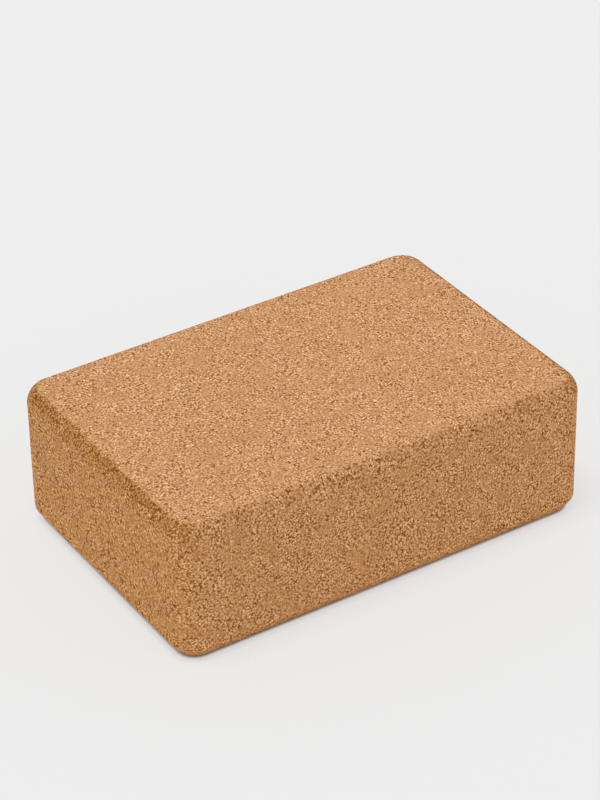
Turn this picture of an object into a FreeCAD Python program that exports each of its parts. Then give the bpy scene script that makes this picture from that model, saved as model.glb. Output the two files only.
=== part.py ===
# Yoga block: one slab of pressed cork with round upright corners and steep bevels along its rims.
# Sanding has eased every arris of the bevels.
# Millimetres, +Z up. The block lies on its largest face: the origin is the middle of that face,
# X runs along the block's length and Y along its width.
import FreeCAD, Part
import math
import os

# Driving sizes of the block
BLOCK_LENGTH = 228.6
BLOCK_WIDTH = 152.4
BLOCK_HEIGHT = 75.0
# The bevel comes in by its inset on the top and bottom faces, and down the sides by its drop
BEVEL_INSET = 4.6
BEVEL_DROP = 6.8
# Corner radius of the flat that the bevel leaves on the top and bottom
FLAT_CORNER_RADIUS = 9.0
# Round that sanding leaves on the arrises where the bevels meet the flats and the sides
ARRIS_RADIUS = 1.0

# The upright corners stand outside the corners of the flat by the bevel's inset
UPRIGHT_CORNER_RADIUS = FLAT_CORNER_RADIUS + BEVEL_INSET

QUARTER_TURN = math.pi / 2
UP = FreeCAD.Vector(0, 0, 1)
# An edge that climbs by less than this share of its length counts as level
LEVEL_SLOPE_SHARE = 0.1


def rounded_outline(length, width, corner_radius, height):
    """Closed outline of a rectangle with round corners, centred over the origin at one height."""
    reach_x = length / 2 - corner_radius
    reach_y = width / 2 - corner_radius
    centres = [(reach_x, reach_y), (-reach_x, reach_y), (-reach_x, -reach_y), (reach_x, -reach_y)]
    arcs = []
    for quarter, (x, y) in enumerate(centres):
        circle = Part.Circle(FreeCAD.Vector(x, y, height), UP, corner_radius)
        start = quarter * QUARTER_TURN
        arcs.append(Part.ArcOfCircle(circle, start, start + QUARTER_TURN))
    edges = []
    for arc, next_arc in zip(arcs, arcs[1:] + arcs[:1]):
        edges.append(arc.toShape())
        edges.append(Part.LineSegment(arc.EndPoint, next_arc.StartPoint).toShape())
    return Part.Wire(edges)


def side_outline(height):
    """Outline of the upright sides."""
    return rounded_outline(BLOCK_LENGTH, BLOCK_WIDTH, UPRIGHT_CORNER_RADIUS, height)


def flat_outline(height):
    """Outline of the flat that the bevel leaves."""
    flat_length = BLOCK_LENGTH - 2 * BEVEL_INSET
    flat_width = BLOCK_WIDTH - 2 * BEVEL_INSET
    return rounded_outline(flat_length, flat_width, FLAT_CORNER_RADIUS, height)


def level_edges(shape):
    """Edges that run level round the block: the arrises of its bevels."""
    return [edge for edge in shape.Edges if abs(edge.tangentAt(edge.FirstParameter).z) < LEVEL_SLOPE_SHARE]


def cork_block():
    """The bevelled slab, ruled straight from each outline to the next, then eased along its arrises."""
    outlines = [
        flat_outline(0),
        side_outline(BEVEL_DROP),
        side_outline(BLOCK_HEIGHT - BEVEL_DROP),
        flat_outline(BLOCK_HEIGHT),
    ]
    solid = True
    ruled = True
    slab = Part.makeLoft(outlines, solid, ruled)
    return slab.makeFillet(ARRIS_RADIUS, level_edges(slab))


os.makedirs("parts", exist_ok=True)
block = cork_block()
block.exportStep("parts/cork_block.step")
print("cork_block", "valid" if block.isValid() else "not valid", "volume", round(block.Volume), "mm3")
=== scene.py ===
"""Pressed cork yoga block: the part's looks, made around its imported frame, with lengths in metres."""
import math

import bpy
import numpy as np
from bpy.props import FloatProperty, FloatVectorProperty, IntProperty, PointerProperty
from mathutils import Color, Euler, Matrix, Vector


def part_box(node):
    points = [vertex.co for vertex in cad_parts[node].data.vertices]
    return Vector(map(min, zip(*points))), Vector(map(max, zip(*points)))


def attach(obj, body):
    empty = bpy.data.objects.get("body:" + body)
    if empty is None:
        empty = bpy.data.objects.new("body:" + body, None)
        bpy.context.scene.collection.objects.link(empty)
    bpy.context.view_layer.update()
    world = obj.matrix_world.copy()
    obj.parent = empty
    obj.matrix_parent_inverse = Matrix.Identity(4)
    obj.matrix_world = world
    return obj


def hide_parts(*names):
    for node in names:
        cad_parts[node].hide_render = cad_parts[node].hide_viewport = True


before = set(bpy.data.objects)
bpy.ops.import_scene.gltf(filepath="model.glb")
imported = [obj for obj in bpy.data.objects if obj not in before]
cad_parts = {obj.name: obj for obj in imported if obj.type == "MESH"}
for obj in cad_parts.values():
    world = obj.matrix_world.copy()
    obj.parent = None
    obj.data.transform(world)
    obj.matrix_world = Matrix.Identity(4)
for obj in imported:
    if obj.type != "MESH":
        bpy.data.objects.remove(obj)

bl_info = {
    "name": "Pressed cork yoga block",
    "version": (1, 0, 0),
    "blender": (4, 5, 0),
    "location": "3D View > Sidebar > Cork block",
    "description": "Makes a bevelled block of pressed cork granules and the stage that it is shown on",
    "category": "Object",
}

MM = 0.001
AXES = 3
QUARTER_TURN = math.pi / 2
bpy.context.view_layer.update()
BLOCK_LOW, BLOCK_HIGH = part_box("cork_block")
BLOCK_SIZE = BLOCK_HIGH - BLOCK_LOW
BLOCK_MIDDLE = (BLOCK_LOW + BLOCK_HIGH) / 2

# The picture's frame in pixels, and the pixel on which the block's middle falls
PICTURE_WIDTH = 600
PICTURE_HEIGHT = 800
MIDDLE_PIXEL = (303.34, 445.74)
# Longer side of the camera's sensor, in millimetres as lenses are
SENSOR_SIZE = 36

SCREEN_WHITE = 255
LENGTH_DIGITS = 5


def screen_colour(*screen_values):
    """Linear colour of three screen values from 0 to 255."""
    shares = [value / SCREEN_WHITE for value in screen_values]
    return tuple(Color(shares).from_srgb_to_scene_linear())


def length_property(name, description, default):
    """A length that a user may change."""
    return FloatProperty(
        name=name, description=description, default=default, min=0, precision=LENGTH_DIGITS, unit="LENGTH"
    )


def share_property(name, description, default):
    """A share from 0 to 1 that a user may change."""
    return FloatProperty(
        name=name, description=description, default=default, min=0, max=1, subtype="FACTOR"
    )


def angle_property(name, description, degrees):
    """An angle that a user may change."""
    return FloatProperty(
        name=name, description=description, default=math.radians(degrees), unit="ROTATION"
    )


def colour_property(name, description, *screen_values):
    """A colour that a user may change, written in screen values."""
    linear = screen_colour(*screen_values)
    return FloatVectorProperty(
        name=name, description=description, default=linear, min=0, max=1, subtype="COLOR"
    )


class CorkBlockForm(bpy.types.PropertyGroup):
    """Sizes of the block and of its surface relief."""

    length: length_property("Length", "Block from end to end", BLOCK_SIZE.x)
    width: length_property("Width", "Block from front to back", BLOCK_SIZE.y)
    height: length_property("Height", "Block from base to top", BLOCK_SIZE.z)
    bevel_inset: length_property("Bevel inset", "How far the bevels come in on the flats", 4.6 * MM)
    bevel_drop: length_property("Bevel drop", "How far the bevels come down the sides", 6.8 * MM)
    bevel_bulge: share_property("Bevel bulge", "Upper bevels from flat to a quarter of an ellipse", 0.5)
    corner_radius: length_property("Corner radius", "Radius of the upright corners", 13.6 * MM)
    mesh_step: length_property("Mesh step", "Side of one face of the block's mesh", 1.25 * MM)
    granule_relief: length_property("Granule relief", "From low granules to high ones", 0.06 * MM)
    sanding_waves: length_property("Sanding waves", "Depth of the hollows left by sanding", 0.1 * MM)
    arris_wear: length_property("Arris wear", "How far the arrises have crumbled", 0.2 * MM)
    pit_share: share_property("Pit share", "Share of the faces that have a pit", 0.016)
    bevel_pit_share: share_property("Bevel pit share", "How much that grows on the bevels", 0.008)
    pit_depth: length_property("Pit depth", "Depth of the deepest pits", 0.6 * MM)
    seed: IntProperty(name="Seed", description="Picks the pits and the mesh's pattern", default=7, min=0)


class CorkGrainLook(bpy.types.PropertyGroup):
    """Colours and sizes of the cork's grain."""

    granule_size: length_property("Granule size", "Usual size of a cork granule", 1.05 * MM)
    chip_size: length_property("Chip size", "Usual size of the chips left by sanding", 0.6 * MM)
    fleck_gap: length_property("Fleck gap", "Between the places that may hold a fleck", 1.5 * MM)
    fleck_share: share_property("Fleck share", "Share of those places with a fleck of bark", 0.06)
    bevel_fleck_share: share_property("Bevel fleck share", "How much that grows on the bevels", 0.1)
    straw_share: share_property("Straw share", "Share of those places with clean pale cork", 0.14)
    bevel_shade: share_property("Bevel shade", "How much darker the long sides' bevels are", 0.1)
    end_bevel_shade: share_property("End bevel shade", "How much darker still the ends' are", 0.145)
    deep_tone: colour_property("Deep tone", "Darkest seams between granules", 137, 83, 31)
    brown_tone: colour_property("Brown tone", "Rims of most granules", 179, 125, 74)
    tan_tone: colour_property("Tan tone", "Most of the cork", 202, 149, 102)
    pale_tone: colour_property("Pale tone", "Cores of most granules", 226, 175, 130)
    straw_tone: colour_property("Straw tone", "Palest cores and flecks", 254, 208, 162)
    # This tone is also painted into the pits, as painted shade in those hollows
    bark_and_pit_shade_tone: colour_property("Bark tone", "Flecks of bark, and the insides of pits", 122, 68, 22)
    # Painted shade: the warmer tone of the upright sides in shade, laid on as a tint
    side_shade_tint: colour_property("Side tint", "What the ends keep of the top's tone", 255, 248, 227)
    end_bevel_tint: colour_property("End bevel tint", "What the ends' bevels keep of it", 252, 250, 232)


class BlockStageLook(bpy.types.PropertyGroup):
    """Floor, light and camera."""

    floor_tone: colour_property("Floor tone", "Floor, and what lies beyond it", 238, 238, 238)
    floor_reach: length_property("Floor reach", "Floor from its middle to its rim", 5.0)
    sky_share: share_property("Sky share", "Part of the floor's light from all round", 0.65)
    key_share: share_property("Key share", "Part of the floor's light from the key lamp", 0.35)
    key_spread: angle_property("Key spread", "How wide the key lamp looks from the block", 25)
    key_turn: angle_property("Key turn", "Key lamp round the block, from its right end", 190)
    key_height: angle_property("Key height", "Key lamp above the floor, from the block", 80)
    glow_share: share_property("Glow share", "Part of the floor's tone seen without shadow", 0.66)
    # Reach of the painted contact shadow at the block's foot
    foot_shadow_reach: length_property("Foot reach", "How far from the block's foot that fades", 1.4 * MM)
    camera_turn: angle_property("Camera turn", "Camera round the block, from its front", -32.231)
    camera_height: angle_property("Camera height", "Camera above the block's middle", 33.572)
    camera_roll: angle_property("Camera roll", "Tilt of the picture", -1.064)
    camera_distance: length_property("Camera distance", "Camera from the block's middle", 1500 * MM)
    camera_lens: FloatProperty(
        name="Lens", description="Focal length in millimetres", default=139.037, min=1, unit="CAMERA"
    )


# Middle of what noise and random draws give, from 0 to 1
MIDDLE_SHARE = 0.5
NOISE_DETAIL = 2.0


class Wire:
    """One output of a node, which sums, products and comparisons can be written with."""

    def __init__(self, plan, socket):
        self.plan = plan
        self.socket = socket

    def __add__(self, other):
        return self.plan.math("ADD", self, other)

    def __sub__(self, other):
        return self.plan.math("SUBTRACT", self, other)

    def __rsub__(self, other):
        return self.plan.math("SUBTRACT", other, self)

    def __mul__(self, other):
        return self.plan.math("MULTIPLY", self, other)

    def __truediv__(self, other):
        return self.plan.math("DIVIDE", self, other)

    def __lt__(self, other):
        return self.plan.math("LESS_THAN", self, other)

    def __gt__(self, other):
        return self.plan.math("GREATER_THAN", self, other)

    def __abs__(self):
        return self.plan.math("ABSOLUTE", self)

    __radd__ = __add__


class NodePlan:
    """A node tree under construction."""

    def __init__(self, tree):
        self.tree = tree

    def feed(self, socket, value):
        """Links a wire to an input, or sets the input's own value."""
        if isinstance(value, Wire):
            self.tree.links.new(value.socket, socket)
        else:
            socket.default_value = value

    def add(self, kind, inputs=None, **settings):
        """Adds a node with its settings, and feeds its inputs by name or by place among those in use."""
        node = self.tree.nodes.new(kind)
        for name, value in settings.items():
            setattr(node, name, value)
        in_use = [socket for socket in node.inputs if socket.enabled]
        by_key = {socket.name: socket for socket in reversed(in_use)}
        by_key.update(enumerate(in_use))
        for key, value in (inputs or {}).items():
            self.feed(by_key[key], value)
        return node

    def wire(self, node, name):
        """The output of that name that is in use."""
        in_use = (socket for socket in node.outputs if socket.enabled)
        return Wire(self, next(socket for socket in in_use if socket.name == name))

    def get(self, kind, output, inputs=None, **settings):
        """Adds a node and gives one of its outputs."""
        return self.wire(self.add(kind, inputs, **settings), output)

    def math(self, operation, *values):
        """A sum, product or the like, of vectors if the first wire carries one."""
        first = next(value for value in values if isinstance(value, Wire))
        if first.socket.type != "VECTOR":
            return self.get("ShaderNodeMath", "Value", dict(enumerate(values)), operation=operation)
        spread = [value if isinstance(value, Wire) else Vector.Fill(AXES, value) for value in values]
        return self.get("ShaderNodeVectorMath", "Vector", dict(enumerate(spread)), operation=operation)

    def least(self, first, second):
        """The lesser of two values."""
        return self.math("MINIMUM", first, second)

    def most(self, first, second):
        """The greater of two values."""
        return self.math("MAXIMUM", first, second)

    def within(self, value, limit):
        """A value held between minus and plus a limit."""
        return self.most(self.least(value, limit), 0 - limit)

    def swing(self, share):
        """How far a value from 0 to 1 is from the middle."""
        return share - MIDDLE_SHARE

    def fade(self, value):
        """A rise from 0 to 1 as a value passes zero, over a span of 1."""
        return self.within(value, MIDDLE_SHARE) + MIDDLE_SHARE

    def join(self, x, y, z):
        """A vector from its three parts."""
        return self.get("ShaderNodeCombineXYZ", "Vector", {0: x, 1: y, 2: z})

    def even(self, value):
        """A vector with three equal parts."""
        return self.join(value, value, value)

    def split(self, vector):
        """The three parts of a vector."""
        node = self.add("ShaderNodeSeparateXYZ", {0: vector})
        return [self.wire(node, axis) for axis in "XYZ"]

    def noise(self, place, size, detail=NOISE_DETAIL):
        """Smooth noise from 0 to 1 with lumps of about that size."""
        inputs = {"Vector": place, "Scale": 1 / size, "Detail": detail}
        return self.get("ShaderNodeTexNoise", "Fac", inputs)

    def blend(self, share, first, tone, blend_type="MIX"):
        """A colour taken towards a tone by a share."""
        inputs = {"Factor": share, "A": first, "B": (*tone, 1)}
        return self.get("ShaderNodeMix", "Result", inputs, data_type="RGBA", blend_type=blend_type)

    def cells(self, place, size):
        """Voronoi cells of about that size."""
        return self.add("ShaderNodeTexVoronoi", {"Vector": place, "Scale": 1 / size})

    def draws(self, cells):
        """Three random values for each cell, stirred, since the cells' own colours follow their places."""
        stirred = self.get("ShaderNodeTexWhiteNoise", "Color", {"Vector": self.wire(cells, "Color")})
        return self.split(stirred)


class GeometryPlan(NodePlan):
    """A geometry node tree with named inputs, which makes a piece's mesh."""

    SOCKETS = {
        float: "NodeSocketFloat",
        int: "NodeSocketInt",
        bpy.types.Material: "NodeSocketMaterial",
    }

    def __init__(self, name, values):
        super().__init__(bpy.data.node_groups.new(name, "GeometryNodeTree"))
        self.values = values
        sides = self.tree.interface
        sides.new_socket("Geometry", in_out="INPUT", socket_type="NodeSocketGeometry")
        sides.new_socket("Geometry", in_out="OUTPUT", socket_type="NodeSocketGeometry")
        self.identifiers = {}
        for label, value in values.items():
            item = sides.new_socket(label, in_out="INPUT", socket_type=self.SOCKETS[type(value)])
            self.identifiers[label] = item.identifier
        self.entry = self.tree.nodes.new("NodeGroupInput")

    def value(self, label):
        """One of the tree's own inputs."""
        return self.wire(self.entry, label)

    def random(self, low, high, seed_step, kind="FLOAT"):
        """A random value for each element."""
        inputs = {"Min": low, "Max": high, "Seed": self.value("Seed") + seed_step}
        return self.get("FunctionNodeRandomValue", "Value", inputs, data_type=kind)

    def chance(self, share, seed_step):
        """True for a share of the elements."""
        inputs = {"Probability": share, "Seed": self.value("Seed") + seed_step}
        return self.get("FunctionNodeRandomValue", "Value", inputs, data_type="BOOLEAN")

    def store(self, geometry, name, value, domain, data_type):
        """Keeps a value on the geometry under a name."""
        inputs = {"Geometry": geometry, "Name": name, "Value": value}
        settings = {"domain": domain, "data_type": data_type}
        return self.get("GeometryNodeStoreNamedAttribute", "Geometry", inputs, **settings)

    def place(self, geometry, **where):
        """Moves the points of a geometry to a position, or by an offset."""
        return self.get("GeometryNodeSetPosition", "Geometry", {"Geometry": geometry, **where})

    def extrude(self, mesh, chosen, distance):
        """Extrudes each of the chosen faces by itself."""
        inputs = {"Mesh": mesh, "Selection": chosen, "Offset Scale": distance, "Individual": True}
        return self.add("GeometryNodeExtrudeMesh", inputs, mode="FACES")

    def shrink(self, mesh, chosen, share):
        """Shrinks each of the chosen faces to a share of its size."""
        inputs = {"Geometry": mesh, "Selection": chosen, "Scale": share}
        return self.get("GeometryNodeScaleElements", "Geometry", inputs, domain="FACE")

    def finish(self, geometry):
        """Realizes the geometry, gives it its material and ends the tree."""
        real = self.get("GeometryNodeRealizeInstances", "Geometry", {"Geometry": geometry})
        inputs = {"Geometry": real, "Material": self.value("Material")}
        painted = self.get("GeometryNodeSetMaterial", "Geometry", inputs)
        self.feed(self.tree.nodes.new("NodeGroupOutput").inputs["Geometry"], painted)

    def make_piece(self, name, start_mesh):
        """Runs the tree on a mesh and gives its result as a plain piece."""
        piece = bpy.data.objects.new(name, start_mesh)
        bpy.context.scene.collection.objects.link(piece)
        modifier = piece.modifiers.new(self.tree.name, "NODES")
        modifier.node_group = self.tree
        for label, value in self.values.items():
            modifier[self.identifiers[label]] = value
        graph = bpy.context.evaluated_depsgraph_get()
        made = piece.evaluated_get(graph)
        mesh = bpy.data.meshes.new_from_object(made, preserve_all_data_layers=True, depsgraph=graph)
        piece.modifiers.clear()
        piece.data = mesh
        # Set Material leaves an empty slot before its own
        mesh.materials.pop(index=0)
        mesh.name = name
        return piece


# Random draws of the block's tree, each with its own step from the seed
JITTER_DRAW, PIT_DRAW, PIT_WIDTH_DRAW, PIT_DEPTH_DRAW = range(4)
# The corners of the flats fade to square over this many corner radii
CORNER_FADE_SHARE = 3.0
# Points of the mesh stray by up to this share of its step
JITTER_SHARE = 0.28
# Wear reaches this far from an arris, and no point strays within the nearest share of that
ARRIS_REACH = 1.6 * MM
STILL_SHARE = 0.5
WAVE_SIZE = 26 * MM
CRUMB_SIZE = 2.2 * MM
CRUMB_DETAIL = 1.0
# The arrises crumble where noise of this span rises above this gap
CRUMB_SPAN_SHARE = 2.0
CRUMB_GAP_SHARE = 0.6
# Mouths of pits as shares of their faces, floors as a share of mouths, and depths, which go inwards
PIT_WIDTH_SHARES = (0.3, 0.6)
PIT_FLOOR_SHARE = 0.7
PIT_DEPTH_SHARES = (-1.0, -0.4)


def block_plan(form, grain, material):
    """The block: a box of even faces drawn in to round corners and bevels, then roughened and pitted."""
    sizes = {form.bl_rna.properties[name].name: getattr(form, name) for name in form.__annotations__}
    plan = GeometryPlan("Pressed cork block", {**sizes, "Material": material})
    length, width, height = [plan.value(label) for label in ("Length", "Width", "Height")]
    step, drop, inset = [plan.value(label) for label in ("Mesh step", "Bevel drop", "Bevel inset")]
    position = plan.get("GeometryNodeInputPosition", "Position")
    normal = plan.get("GeometryNodeInputNormal", "Normal")

    # An even box, with the number of its side kept on each face
    rows = plan.math("ROUND", height / step)
    box = plan.get("GeometryNodeMeshCube", "Mesh", {
        "Size": plan.join(length, width, height),
        "Vertices X": plan.math("ROUND", length / step) + 1,
        "Vertices Y": plan.math("ROUND", width / step) + 1,
        "Vertices Z": rows + 1,
    })
    side = sum(abs(part) * (2 * axis + (part < 0)) for axis, part in enumerate(plan.split(normal)))
    numbered = plan.store(box, "side", plan.math("ROUND", side), "FACE", "INT")

    # Rows of the upright walls, then rows of the bevels
    x, y, z = plan.split(position)
    climb = abs(z) / (height / 2)
    wall_share = 1 - plan.math("ROUND", drop / step) * 2 / rows
    rise = plan.most((climb - wall_share) / (1 - wall_share), 0)
    wall_rise = plan.least(climb / wall_share, 1)
    bulge = (z > 0) * plan.value("Bevel bulge")
    turn = rise * QUARTER_TURN
    climbed = rise + bulge * (plan.math("SINE", turn) - rise)
    pulled = rise + bulge * (1 - plan.math("COSINE", turn) - rise)
    half_height = wall_rise * (height / 2 - drop) + climbed * drop
    level = plan.math("SIGN", z) * half_height + height / 2

    # The outline at each row, with its corners rounded and fading to square inside the flats
    pull = inset * pulled
    reach_x, reach_y = length / 2 - pull, width / 2 - pull
    flat_x, flat_y = x * reach_x / (length / 2), y * reach_y / (width / 2)
    inside = plan.least(reach_x - abs(flat_x), reach_y - abs(flat_y))
    corner = plan.value("Corner radius")
    radius = (corner - pull) * plan.most(1 - inside / (corner * CORNER_FADE_SHARE), 0)
    core_x = plan.within(flat_x, reach_x - inside - radius)
    core_y = plan.within(flat_y, reach_y - inside - radius)
    outwards = plan.math("NORMALIZE", plan.join(flat_x - core_x, flat_y - core_y, 0))
    shape = plan.join(core_x, core_y, level) + outwards * plan.join(radius, radius, 0)

    # How far each point is from the middle of its bevel, upwards and inwards along the surface
    slope = plan.math("SQRT", inset * inset + drop * drop)
    rim = plan.swing(rise) * slope + inside - (1 - wall_rise) * (height / 2 - drop)
    outwards_x, _, _ = plan.split(outwards)
    marked = plan.store(numbered, "rim", rim, "POINT", "FLOAT")
    marked = plan.store(marked, "end", abs(outwards_x), "POINT", "FLOAT")
    shaped = plan.place(marked, Position=shape)
    rim = plan.get("GeometryNodeInputNamedAttribute", "Attribute", {"Name": "rim"}, data_type="FLOAT")
    arris = plan.most(1 - abs(abs(rim) - slope / 2) / ARRIS_REACH, 0)
    bevel = abs(rim) < slope / 2

    # The faces lose their even pattern, apart from the lines of the arrises
    stray = plan.random(Vector.Fill(AXES, -1), Vector.Fill(AXES, 1), JITTER_DRAW, "FLOAT_VECTOR")
    lift = plan.get("ShaderNodeVectorMath", "Value", {0: stray, 1: normal}, operation="DOT_PRODUCT")
    along = stray - normal * plan.even(lift)
    reach = step * JITTER_SHARE * (1 - plan.least(arris / STILL_SHARE, 1))
    strayed = plan.place(shaped, Offset=along * plan.even(reach))

    # Granules and sanding leave the surface uneven, and wear lowers the arrises
    granule, _, _ = plan.draws(plan.cells(position, grain.granule_size))
    grains = plan.swing(granule) * plan.value("Granule relief")
    waves = plan.swing(plan.noise(position, WAVE_SIZE)) * plan.value("Sanding waves")
    crumbling = plan.noise(position, CRUMB_SIZE, CRUMB_DETAIL) * CRUMB_SPAN_SHARE - CRUMB_GAP_SHARE
    crumbs = plan.most(crumbling, 0) * arris * plan.value("Arris wear")
    depth = grains + waves + crumbs
    lowered = plan.place(strayed, Offset=normal * plan.even(0 - depth))

    # Pits, as small faces let into some of the mesh's faces
    pit_share = plan.value("Pit share") + bevel * plan.value("Bevel pit share")
    ring = plan.extrude(lowered, plan.chance(pit_share, PIT_DRAW), 0.0)
    mouth_share = plan.random(*PIT_WIDTH_SHARES, PIT_WIDTH_DRAW)
    mouth = plan.shrink(plan.wire(ring, "Mesh"), plan.wire(ring, "Top"), mouth_share)
    sinking = plan.value("Pit depth") * plan.random(*PIT_DEPTH_SHARES, PIT_DEPTH_DRAW)
    hollow = plan.extrude(mouth, plan.wire(ring, "Top"), sinking)
    pitted = plan.shrink(plan.wire(hollow, "Mesh"), plan.wire(hollow, "Top"), PIT_FLOOR_SHARE)
    in_pit = plan.most(plan.wire(hollow, "Top"), plan.wire(hollow, "Side"))
    # Faces inside pits are kept, so that the material can paint shade into them
    pitted = plan.store(pitted, "pit", in_pit, "FACE", "FLOAT")
    smooth = {"Geometry": pitted, "Shade Smooth": True}
    plan.finish(plan.get("GeometryNodeSetShadeSmooth", "Geometry", smooth))
    return plan


def read_values(items, name, kind, width=1):
    """One value of every item, or a row of values, in one long array."""
    values = np.empty(len(items) * width, kind)
    items.foreach_get(name, values)
    return values


# Empty strip between the islands of the bake map
BAKE_GAP = 2 * MM


def lay_out_bake_map(piece, form):
    """A bake map with one island for each side of the block, packed into a square."""
    long, wide, tall = [size + BAKE_GAP for size in (form.length, form.width, form.height)]
    square = max(long + 2 * tall, long + wide, 2 * wide + tall)
    # For each side, from +X to -Z: the axes that run across and up its island, and its low corner
    islands = [
        (1, 2, (0, 2 * wide)),
        (1, 2, (long, long)),
        (2, 0, (long, 0)),
        (2, 0, (long + tall, 0)),
        (0, 1, (0, 0)),
        (0, 1, (0, wide)),
    ]
    mesh = piece.data
    low = np.array((-form.length / 2, -form.width / 2, 0)) - BAKE_GAP / 2
    corners = read_values(mesh.loops, "vertex_index", np.int32)
    points = read_values(mesh.vertices, "co", np.float32, AXES).reshape(-1, AXES)
    places = points[corners] - low
    sides = read_values(mesh.attributes["side"].data, "value", np.int32)
    side_of_corner = np.repeat(sides, read_values(mesh.polygons, "loop_total", np.int32))
    bake_map = np.zeros((len(corners), 2))
    for side, (across, up, origin) in enumerate(islands):
        on_side = side_of_corner == side
        bake_map[on_side] = places[on_side][:, (across, up)] + np.array(origin)
    layer = mesh.uv_layers.new(name="OFBake")
    layer.data.foreach_set("uv", (bake_map / square).astype(np.float32).ravel())


def new_material(name, specular_share):
    """A new node material, its plan and its main shader."""
    material = bpy.data.materials.new(name)
    material.use_nodes = True
    material.node_tree.nodes.clear()
    plan = NodePlan(material.node_tree)
    shader = plan.add("ShaderNodeBsdfPrincipled", {"Specular IOR Level": specular_share})
    ending = plan.add("ShaderNodeOutputMaterial")
    plan.feed(ending.inputs["Surface"], plan.wire(shader, "BSDF"))
    return material, plan, shader


def colour_ramp(plan, share, stops):
    """A colour picked from a row of (place, colour) stops."""
    node = plan.add("ShaderNodeValToRGB", {"Fac": share})
    elements = node.color_ramp.elements
    while len(elements) < len(stops):
        elements.new(MIDDLE_SHARE)
    for element, (place, colour) in zip(elements, stops):
        element.position = place
        element.color = (*colour, 1)
    return plan.wire(node, "Color")


# How the cork's tone is put together: cores and chips, how clearly they show, slow drift, and blotches
TONE_PLACES = (0.0, 0.25, 0.5, 0.75, 1.0)
CORE_TONE_SHARE = 1.18
CHIP_TONE_SHARE = 0.32
CLEAR_SIZE = 8 * MM
CLEAR_SPAN_SHARE = 2.3
LONG_SIDE_CLEAR_SHARE = 0.12
DRIFT_SIZE = 14 * MM
DRIFT_SHARE = 0.06
BLOTCH_SIZE = 5 * MM
BLOTCH_SPAN_SHARE = 2.0
# How far the tone of the bevels goes on inside the flats, and ends above the sides, and how softly
UPPER_REACH = 0.5 * MM
UPPER_FADE = 1.5 * MM
LOWER_REACH = 0.8 * MM
LOWER_FADE = 5 * MM
# Sizes of the flecks as shares of the gap between them, and how much they cover
FLECK_SPAN_SHARE = 0.22
LEAST_FLECK_SHARE = 0.2
FLECK_STRENGTH_SHARE = 0.95
# The long sides take only a part of the painted shade tint of the ends
LONG_SIDE_SHADE_TINT_SHARE = 0.7
CORK_SPECULAR_SHARE = 0.1
LEAST_ROUGHNESS_SHARE = 0.8
ROUGHNESS_SPAN_SHARE = 0.15
BUMP_SHARE = 0.5
BUMP_DEPTH = 0.15 * MM


def cork_material(form, grain):
    """Pressed cork: granules with pale cores, chips, flecks, the darker tones of bevels, painted shade in
    the pits, and a painted shade tint on the upright sides.
    """
    material, plan, shader = new_material("pressed cork", CORK_SPECULAR_SHARE)
    place = plan.get("ShaderNodeTexCoord", "Object")
    kept = ("rim", "end", "pit")
    rim, end, pit = [plan.get("ShaderNodeAttribute", "Fac", attribute_name=name) for name in kept]
    half_slope = math.hypot(form.bevel_inset, form.bevel_drop) / 2
    ragged = rim + plan.swing(plan.noise(place, CRUMB_SIZE)) * CRUMB_SIZE
    below_flat = plan.fade((half_slope + UPPER_REACH - ragged) / UPPER_FADE)
    _, _, level = plan.split(place)
    upper = level > form.height / 2
    above_wall = plan.fade((ragged + half_slope - LOWER_REACH) / LOWER_FADE) * upper
    bevel = below_flat * above_wall

    # Granules are palest at their cores, chips have their own tones, and both show more in some places
    core = MIDDLE_SHARE - plan.wire(plan.cells(place, grain.granule_size), "Distance")
    chip_tone, _, _ = plan.draws(plan.cells(place, grain.chip_size))
    clearness = plan.noise(place, CLEAR_SIZE) * CLEAR_SPAN_SHARE + (1 - CLEAR_SPAN_SHARE / 2)
    long_side = (1 - above_wall) * (1 - end) * LONG_SIDE_CLEAR_SHARE + 1
    grains = (core * CORE_TONE_SHARE + plan.swing(chip_tone) * CHIP_TONE_SHARE) * clearness * long_side
    drift = plan.swing(plan.noise(place, DRIFT_SIZE)) * DRIFT_SHARE
    cut = bevel * (end * grain.end_bevel_shade + grain.bevel_shade)
    blotch = plan.noise(place, BLOTCH_SIZE) * BLOTCH_SPAN_SHARE
    shade = grains + drift - cut * blotch + MIDDLE_SHARE
    tones = [grain.deep_tone, grain.brown_tone, grain.tan_tone, grain.pale_tone, grain.straw_tone]
    usual = colour_ramp(plan, shade, list(zip(TONE_PLACES, tones)))

    # Flecks of bark and of clean cork, with more bark on the cut bevels, and the same dark tone painted
    # into the pits as painted shade
    rooms = plan.cells(place, grain.fleck_gap)
    draw, width, _ = plan.draws(rooms)
    near = plan.wire(rooms, "Distance") < width * FLECK_SPAN_SHARE + LEAST_FLECK_SHARE
    bark = draw < bevel * grain.bevel_fleck_share + grain.fleck_share
    straw = draw > 1 - (1 - bevel) * grain.straw_share
    lightened = plan.blend(near * straw * FLECK_STRENGTH_SHARE, usual, grain.straw_tone)
    dark = plan.most(near * bark, pit) * FLECK_STRENGTH_SHARE
    colour = plan.blend(dark, lightened, grain.bark_and_pit_shade_tone)

    # The upright sides take a painted shade tint, the warmer tone that sides in shade show, in full on the
    # ends; the bevels of the ends have a tint of their own
    tint = (1 - above_wall) * (end * (1 - LONG_SIDE_SHADE_TINT_SHARE) + LONG_SIDE_SHADE_TINT_SHARE)
    tinted = plan.blend(tint, colour, grain.side_shade_tint, "MULTIPLY")
    tinted = plan.blend(bevel * end, tinted, grain.end_bevel_tint, "MULTIPLY")
    plan.feed(shader.inputs["Base Color"], tinted)
    plan.feed(shader.inputs["Roughness"], chip_tone * ROUGHNESS_SPAN_SHARE + LEAST_ROUGHNESS_SHARE)
    bump = {"Strength": BUMP_SHARE, "Distance": BUMP_DEPTH, "Height": core}
    plan.feed(shader.inputs["Normal"], plan.get("ShaderNodeBump", "Normal", bump))
    return material


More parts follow.
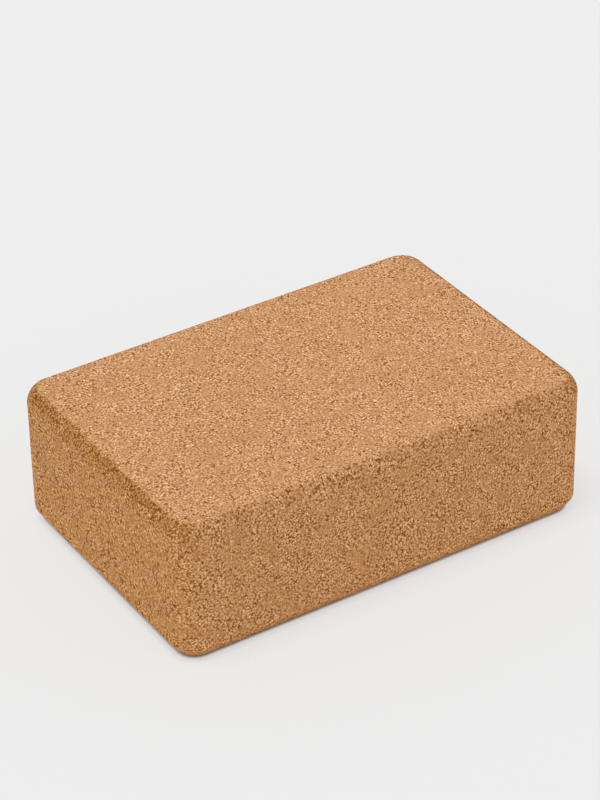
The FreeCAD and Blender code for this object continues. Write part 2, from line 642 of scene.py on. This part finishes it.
class CORKBLOCK_OT_block(bpy.types.Operator):
    """Make the block of pressed cork that stands for the solid"""

    bl_idname = "corkblock.block"
    bl_label = "Pressed cork block"

    def execute(self, context):
        form = context.scene.cork_form
        grain = context.scene.cork_grain
        plan = block_plan(form, grain, cork_material(form, grain))
        block = plan.make_piece("pressed_cork", bpy.data.meshes.new("start"))
        lay_out_bake_map(block, form)
        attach(block, "root")
        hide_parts("cork_block")
        return {"FINISHED"}


def seen_directly(plan):
    """1 for light on its way to the camera, straight or by a mirror or glass, and 0 for other light."""
    rays = plan.add("ShaderNodeLightPath")
    seen = plan.most(plan.wire(rays, "Is Camera Ray"), plan.wire(rays, "Is Glossy Ray"))
    return plan.most(seen, plan.wire(rays, "Is Transmission Ray"))


# Rays that tell how open each place of the floor is
FOOT_SAMPLES = 4


def studio_floor(stage, form):
    """A wide level floor, which touches the granules that stand out most from the block's base."""
    reach = stage.floor_reach
    low = -(form.granule_relief + form.sanding_waves) / 2
    mesh = bpy.data.meshes.new("floor")
    corners = [(-reach, -reach, low), (reach, -reach, low), (reach, reach, low), (-reach, reach, low)]
    mesh.from_pydata(corners, [], [(0, 1, 2, 3)])
    floor = bpy.data.objects.new("floor", mesh)
    bpy.context.scene.collection.objects.link(floor)
    material, plan, shader = new_material("studio floor", 0.0)
    tone = (*stage.floor_tone, 1)
    shader.inputs["Roughness"].default_value = 1.0
    shader.inputs["Base Color"].default_value = tone
    # The glow, the floor's tone seen without shadow, fades by ambient occlusion close to the block's foot:
    # a painted contact shadow, a thin dark line there
    near_foot = {"Distance": stage.foot_shadow_reach}
    openness = plan.get("ShaderNodeAmbientOcclusion", "AO", near_foot, samples=FOOT_SAMPLES)
    glow = plan.get("ShaderNodeEmission", "Emission", {"Color": tone, "Strength": openness})
    shares = {0: seen_directly(plan) * stage.glow_share, 1: plan.wire(shader, "BSDF"), 2: glow}
    mixed = plan.get("ShaderNodeMixShader", "Shader", shares)
    ending = material.node_tree.get_output_node("ALL")
    plan.feed(ending.inputs["Surface"], mixed)
    mesh.materials.append(material)


def studio_sky(stage):
    """Even white light from all round, which the camera and mirrors see in the floor's colour."""
    world = bpy.data.worlds.new("studio")
    bpy.context.scene.world = world
    world.use_nodes = True
    world.node_tree.nodes.clear()
    plan = NodePlan(world.node_tree)
    white = {"Color": (1, 1, 1, 1), "Strength": stage.sky_share}
    light = plan.get("ShaderNodeBackground", "Background", white)
    pale = {"Color": (*stage.floor_tone, 1), "Strength": 1.0}
    backdrop = plan.get("ShaderNodeBackground", "Background", pale)
    mixed = plan.get("ShaderNodeMixShader", "Shader", {0: seen_directly(plan), 1: light, 2: backdrop})
    ending = plan.add("ShaderNodeOutputWorld")
    plan.feed(ending.inputs["Surface"], mixed)


def key_lamp(stage):
    """A soft lamp far off, almost overhead, which gives its share of the light on the floor."""
    level = math.cos(stage.key_height)
    towards = Vector((
        level * math.cos(stage.key_turn),
        level * math.sin(stage.key_turn),
        math.sin(stage.key_height),
    ))
    data = bpy.data.lights.new("key", "SUN")
    data.energy = math.pi * stage.key_share / towards.z
    data.angle = stage.key_spread
    lamp = bpy.data.objects.new("key", data)
    turn = towards.to_track_quat("Z", "Y").to_matrix().to_4x4()
    lamp.matrix_world = Matrix.Translation(BLOCK_MIDDLE + towards) @ turn
    bpy.context.scene.collection.objects.link(lamp)


def studio_camera(stage):
    """The camera, turned about the block and moved so that the block's middle falls on its pixel."""
    data = bpy.data.cameras.new("camera")
    data.sensor_width = SENSOR_SIZE
    data.lens = stage.camera_lens
    camera = bpy.data.objects.new("camera", data)
    bpy.context.scene.collection.objects.link(camera)
    turn = Euler((QUARTER_TURN - stage.camera_height, 0, stage.camera_turn)).to_matrix()
    turn = turn @ Matrix.Rotation(stage.camera_roll, AXES, "Z")
    pixel = stage.camera_distance * SENSOR_SIZE / (stage.camera_lens * PICTURE_HEIGHT)
    across = (MIDDLE_PIXEL[0] - PICTURE_WIDTH / 2) * pixel
    up = (PICTURE_HEIGHT / 2 - MIDDLE_PIXEL[1]) * pixel
    spot = BLOCK_MIDDLE + turn @ Vector((-across, -up, stage.camera_distance))
    camera.matrix_world = Matrix.Translation(spot) @ turn.to_4x4()
    bpy.context.scene.camera = camera


class CORKBLOCK_OT_stage(bpy.types.Operator):
    """Make the pale floor, the soft light and the camera"""

    bl_idname = "corkblock.stage"
    bl_label = "Pale stage"

    def execute(self, context):
        stage = context.scene.cork_stage
        studio_floor(stage, context.scene.cork_form)
        studio_sky(stage)
        key_lamp(stage)
        studio_camera(stage)
        context.scene.view_settings.view_transform = "Standard"
        return {"FINISHED"}


class CORKBLOCK_PT_panel(bpy.types.Panel):
    """Lists the sizes and colours, and what can be made from them"""

    bl_idname = "CORKBLOCK_PT_panel"
    bl_label = "Cork block"
    bl_space_type = "VIEW_3D"
    bl_region_type = "UI"
    bl_category = "Cork block"

    def draw(self, context):
        scene = context.scene
        for group, operator in (
            (scene.cork_form, CORKBLOCK_OT_block),
            (scene.cork_grain, None),
            (scene.cork_stage, CORKBLOCK_OT_stage),
        ):
            column = self.layout.column(align=True)
            for name in group.__annotations__:
                column.prop(group, name)
            if operator:
                column.operator(operator.bl_idname)


CLASSES = (
    CorkBlockForm,
    CorkGrainLook,
    BlockStageLook,
    CORKBLOCK_OT_block,
    CORKBLOCK_OT_stage,
    CORKBLOCK_PT_panel,
)
GROUPS = {"cork_form": CorkBlockForm, "cork_grain": CorkGrainLook, "cork_stage": BlockStageLook}


def register():
    """Adds the classes and their settings to Blender."""
    for each in CLASSES:
        bpy.utils.register_class(each)
    for name, group in GROUPS.items():
        setattr(bpy.types.Scene, name, PointerProperty(type=group))


def unregister():
    """Takes them out again."""
    for name in GROUPS:
        delattr(bpy.types.Scene, name)
    for each in reversed(CLASSES):
        bpy.utils.unregister_class(each)


def main():
    """Makes every piece and the stage."""
    register()
    bpy.ops.corkblock.block()
    bpy.ops.corkblock.stage()


if __name__ == "__main__":
    main()
